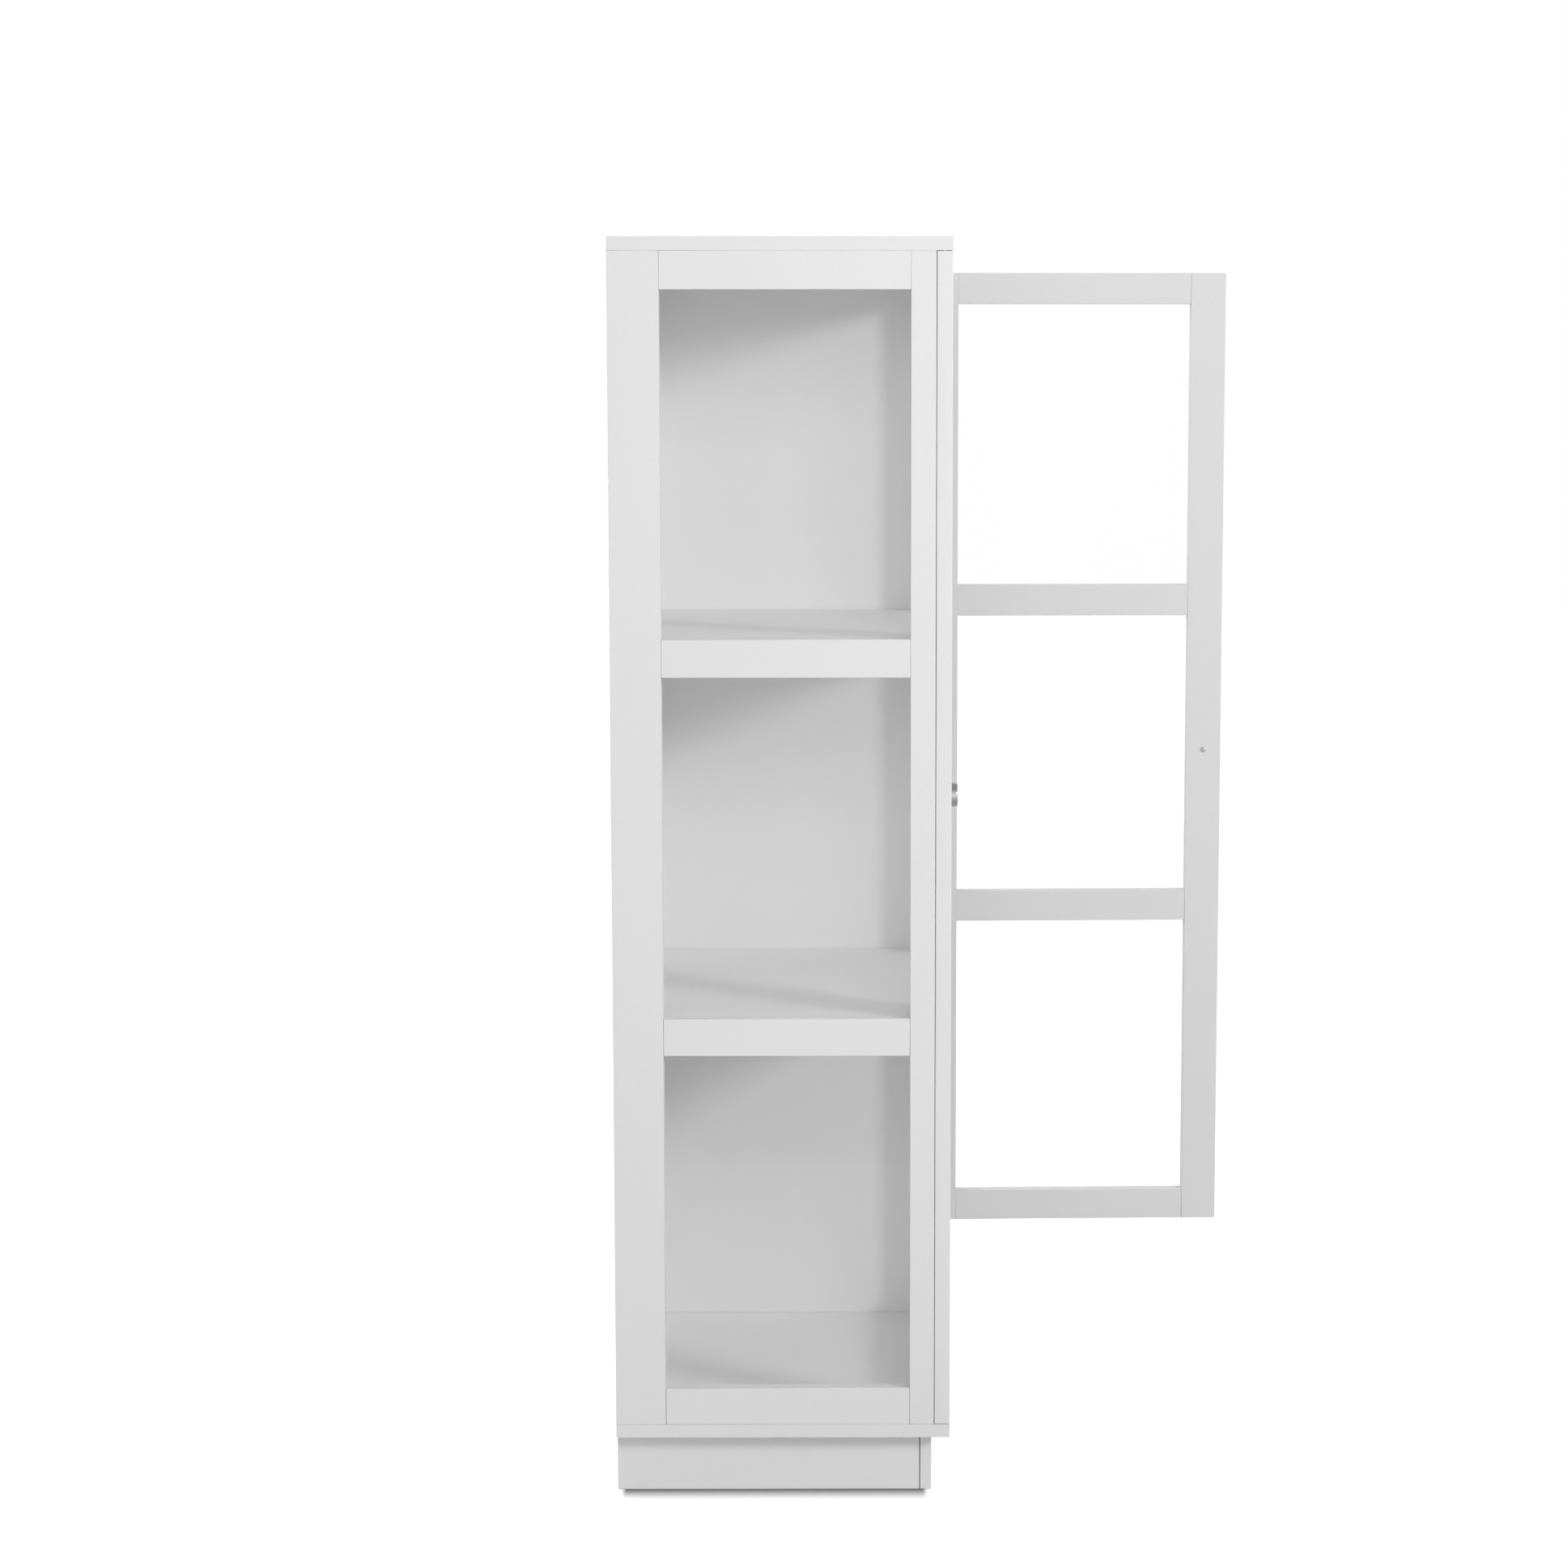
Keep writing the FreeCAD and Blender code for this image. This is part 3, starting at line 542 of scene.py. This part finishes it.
def leaf_screws(name, body, faces, material):
    """The screws of a body's hinge leaves.

    Each face has a pivot point, a direction along the leaf and a normal.
    """
    mesh = bmesh.new()
    depth = LEAF_SCREW_HEAD * SCREW_DEPTH_SHARE
    for pivot, along, normal in faces:
        for index in range(LEAF_SCREW_COUNT):
            place = pivot + along * (LEAF_SCREW_START + index * LEAF_SCREW_PITCH)
            add_screw(mesh, place, normal, LEAF_SCREW_HEAD, LEAF_SCREW_SHANK, depth)
    finish_screws(mesh, name, body, material)


def hinge_screws(material):
    """Screws in the leaves of the panels and in those of the doors."""
    panel_faces = []
    for side, inwards in zip(SIDES, (1, -1)):
        along = Vector((inwards, 0, 0))
        panel_faces.append((pivot_at(side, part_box("bottom_panel")[1].z), along, UP))
        panel_faces.append((pivot_at(side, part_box("top_panel")[0].z), along, -UP))
        foot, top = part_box(f"{side}_door_hinge_stile")
        along = door_directions(side)[0]
        door_faces = [(pivot_at(side, foot.z), along, -UP), (pivot_at(side, top.z), along, UP)]
        leaf_screws(f"{side}_door_leaf_screws", f"{side}_door", door_faces, material)
    leaf_screws("panel_leaf_screws", "carcass", panel_faces, material)


def evenly(start, end, pitch):
    """Places from start to end, no further apart than the pitch."""
    count = math.ceil((end - start) / pitch)
    return [start + (end - start) * index / count for index in range(count + 1)]


def back_screw_places():
    """Round the rebate that holds the back, and up the partition behind it."""
    low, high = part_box("back_panel")
    left, right = low.x + BACK_SCREW_INSET, high.x - BACK_SCREW_INSET
    bottom, top = low.z + BACK_SCREW_INSET, high.z - BACK_SCREW_INSET
    level = evenly(left, right, BACK_SCREW_PITCH)
    upright = evenly(bottom, top, BACK_SCREW_PITCH)[1:-1]
    places = [(x, z) for x in level for z in (bottom, top)]
    places += [(x, z) for x in (left, (left + right) / 2, right) for z in upright]
    return [Vector((x, high.y, z)) for x, z in places]


def back_screws(material):
    """Flush screws that hold the back panel, in holes cut for them."""
    outwards = Vector((0, 1, 0))
    screws = bmesh.new()
    holes = bmesh.new()
    depth = BACK_SCREW_HEAD * SCREW_DEPTH_SHARE
    for place in back_screw_places():
        add_screw(screws, place, outwards, BACK_SCREW_HEAD, BACK_SCREW_SHANK, depth)
        add_hole(holes, place, outwards, BACK_SCREW_HEAD + HOLE_ROOM, BACK_SCREW_SHANK + HOLE_ROOM, depth)
    finish_screws(screws, "back_screws", "carcass", material)
    cut(nodes["back_panel"], finish_mesh(holes, "back_screw_holes"))


def knob_screw_recess(side):
    """The cross recess in the head of a knob's screw, on the inner face of the door."""
    low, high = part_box(f"{side}_knob_screw")
    centre = (low + high) / 2
    inwards = -door_directions(side)[1]
    reach = abs((high - low).dot(inwards)) / 2
    mesh = bmesh.new()
    matrix = face_matrix(centre + inwards * reach, inwards)
    outline = cross_points(KNOB_SCREW_HEAD * CROSS_REACH_SHARE, KNOB_SCREW_HEAD * CROSS_WIDTH_SHARE)
    depth = KNOB_SCREW_HEAD * CROSS_DEPTH_SHARE
    top = add_loop(mesh, matrix, outline, depth)[0]
    foot = add_loop(mesh, matrix, outline, -depth)[0]
    add_wall(mesh, top, foot)
    mesh.faces.new(top)
    mesh.faces.new(foot)
    cut(nodes[f"{side}_knob_screw"], finish_mesh(mesh, f"{side}_knob_screw_recess"))


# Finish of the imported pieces

steel = bright_steel()
finishes = {
    "white_paint": white_paint(),
    "white_board": white_board(),
    "glass": clear_glass(),
    "steel": steel,
    "bumper": clear_rubber(),
}
back_screws(steel)
hinge_screws(steel)
for side in SIDES:
    knob_screw_recess(side)
arrises = arris_group()
for name, piece in nodes.items():
    slot = slot_of[name]
    finish = knob_chrome(name.split("_")[0]) if slot == "chrome" else finishes[slot]
    piece.material_slots[0].material = finish
    if slot in ("white_paint", "white_board"):
        ease_arrises(piece, arrises)


# Studio

FLOOR_SIZE = 30.0
FLOOR_DROP = 0.0005
PAPER_SCALE = 60
PAPER_DARK = (0.50, 0.50, 0.50)
PAPER_LIGHT = (0.52, 0.52, 0.52)

# The floor's own glow, and how much of it mirrors show: a share near the object, all of it further out
FLOOR_GLOW = 0.72
FLOOR_MIRRORED_SHARE = 0.06
FLOOR_MIRRORED_SPAN = (1.2, 7.0)

# Contact shadows along X and along Y: how far they reach out from the plinth, and how far from
# its corners they start and stop fading
CONTACT_STRIPS = ((0.042, 0.012, 0.004), (0.008, 0.4, 0.05))
CONTACT_DEPTH = 0.87

# The even light of the surround, and how it is seen to dim between two angles above the horizon
AMBIENT = 0.575
OVERHEAD_LEVEL = 0.36
OVERHEAD_START = math.radians(10)
OVERHEAD_END = math.radians(62)

# Softboxes: place, side, power in watts and whether mirrors show them. All are turned to the same point
LAMPS = {
    "key": ((-3.5, -5.1, 3.0), 1.0, 123, True),
    "side": ((-2.6, -0.4, 2.2), 0.9, 12, False),
    "low": ((-2.4, 0.0, 0.35), 0.6, 2, False),
    "fill": ((2.6, 2.6, 2.4), 3.0, 80, True),
}
LAMP_AIM = Vector((0, 0, 0.9))

CAMERA_PLACE = Vector((-4.704, -0.099, 1.627))
CAMERA_YAW = math.radians(-0.21)
CAMERA_PITCH = math.radians(-5.95)
CAMERA_LENS = 68.77
CAMERA_SENSOR = 36
CAMERA_SHIFT = (-0.05, -0.07)


def seen_directly(tree, mirrored=1.0):
    """1 for what is seen straight or through glass, and 0 for light that falls on things.

    What mirrors show has the value that is given.
    """
    path = add_node(tree, "LightPath")
    total = calculate(tree, "MULTIPLY", path.outputs["Is Glossy Ray"], mirrored)
    for ray in ("Is Camera Ray", "Is Transmission Ray"):
        total = calculate(tree, "MAXIMUM", total, path.outputs[ray])
    return total


def light_world():
    """A white surround that is dimmer overhead, and a softer even light from it."""
    world = bpy.data.worlds.new("studio")
    scene.world = world
    world.use_nodes = True
    tree = world.node_tree
    soft = tree.nodes["Background"]
    soft.inputs["Color"].default_value = WHITE
    soft.inputs["Strength"].default_value = AMBIENT
    direction = add_node(tree, "TexCoord").outputs["Generated"]
    rise = add_node(tree, "SeparateXYZ", {0: direction}).outputs["Z"]
    level = spread(tree, rise, 1, OVERHEAD_LEVEL, (math.sin(OVERHEAD_START), math.sin(OVERHEAD_END)))
    white = add_node(tree, "Background", {"Color": WHITE, "Strength": level})
    mixed = add_node(tree, "MixShader", {0: seen_directly(tree), 1: soft.outputs[0], 2: white.outputs[0]})
    tree.links.new(mixed.outputs[0], tree.nodes["World Output"].inputs["Surface"])


def contact_shadow(tree, place):
    """1 at the foot of the plinth, fading to 0 a little way out from it and towards its corners."""
    low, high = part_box("plinth_front")[0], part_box("plinth_right")[1]
    middle, half = (low + high) / 2, (high - low) / 2
    sides = add_node(tree, "SeparateXYZ", {0: place})
    distances = []
    for axis in range(len(CONTACT_STRIPS)):
        offset = calculate(tree, "SUBTRACT", sides.outputs[axis], middle[axis])
        distances.append(calculate(tree, "ABSOLUTE", offset))
    shade = 0
    for axis, (reach, start, stop) in enumerate(CONTACT_STRIPS):
        other = 1 - axis
        outwards = spread(tree, distances[axis], 1, 0, (half[axis], half[axis] + reach))
        along = spread(tree, distances[other], 1, 0, (half[other] - start, half[other] - stop))
        shade = calculate(tree, "MAXIMUM", shade, calculate(tree, "MULTIPLY", outwards, along))
    return shade


def floor_material():
    """Pale seamless paper that looks white, and darkens where the object stands on it."""
    material, tree, shader = new_material("floor")
    place = object_place(tree)
    mirrored = spread(tree, length(tree, place), FLOOR_MIRRORED_SHARE, 1, FLOOR_MIRRORED_SPAN)
    seen = seen_directly(tree, mirrored)
    contact = calculate(tree, "MULTIPLY", contact_shadow(tree, place), seen)
    clear = spread(tree, contact, 1, 1 - CONTACT_DEPTH, (0, 1))
    paper = tones(tree, noise(tree, place, PAPER_SCALE), PAPER_DARK, PAPER_LIGHT)
    shaded = add_node(tree, "VectorMath", {0: paper, "Scale": clear}, operation="SCALE").outputs[0]
    join(tree, shader, Base_Color=shaded)
    shader.inputs["Roughness"].default_value = 1
    shader.inputs["Specular IOR Level"].default_value = 0
    level = calculate(tree, "MULTIPLY", clear, FLOOR_GLOW)
    glow = add_node(tree, "Emission", {"Strength": calculate(tree, "MULTIPLY", seen, level)})
    both = add_node(tree, "AddShader", {0: shader.outputs[0], 1: glow.outputs[0]})
    tree.links.new(both.outputs[0], tree.nodes["Material Output"].inputs["Surface"])
    return material


def lay_floor():
    """A square of paper just below the plinth."""
    mesh = bmesh.new()
    half = FLOOR_SIZE / 2
    corners = ((-half, -half), (half, -half), (half, half), (-half, half))
    mesh.faces.new([mesh.verts.new((x, y, -FLOOR_DROP)) for x, y in corners])
    floor = finish_mesh(mesh, "floor")
    floor.data.materials.append(floor_material())


def hang_lamp(name, place, size, power, mirrored):
    """A square softbox turned to the object."""
    lamp = bpy.data.lights.new(name, "AREA")
    lamp.size = size
    lamp.energy = power
    holder = bpy.data.objects.new(name, lamp)
    holder.location = place
    holder.rotation_mode = "QUATERNION"
    holder.rotation_quaternion = (LAMP_AIM - Vector(place)).to_track_quat("-Z", "Y")
    holder.visible_camera = False
    holder.visible_transmission = False
    holder.visible_glossy = mirrored
    scene.collection.objects.link(holder)


def set_camera():
    """The photograph's view, from the left side."""
    lens = bpy.data.cameras.new("camera")
    lens.lens = CAMERA_LENS
    lens.sensor_width = CAMERA_SENSOR
    lens.shift_x, lens.shift_y = CAMERA_SHIFT
    camera = bpy.data.objects.new("camera", lens)
    camera.location = CAMERA_PLACE
    level = math.cos(CAMERA_PITCH)
    ahead = Vector((level * math.cos(CAMERA_YAW), level * math.sin(CAMERA_YAW), math.sin(CAMERA_PITCH)))
    camera.rotation_mode = "QUATERNION"
    camera.rotation_quaternion = ahead.to_track_quat("-Z", "Y")
    scene.collection.objects.link(camera)
    scene.camera = camera


light_world()
lay_floor()
for name, lamp in LAMPS.items():
    hang_lamp(name, *lamp)
set_camera()
scene.view_settings.view_transform = "Standard"
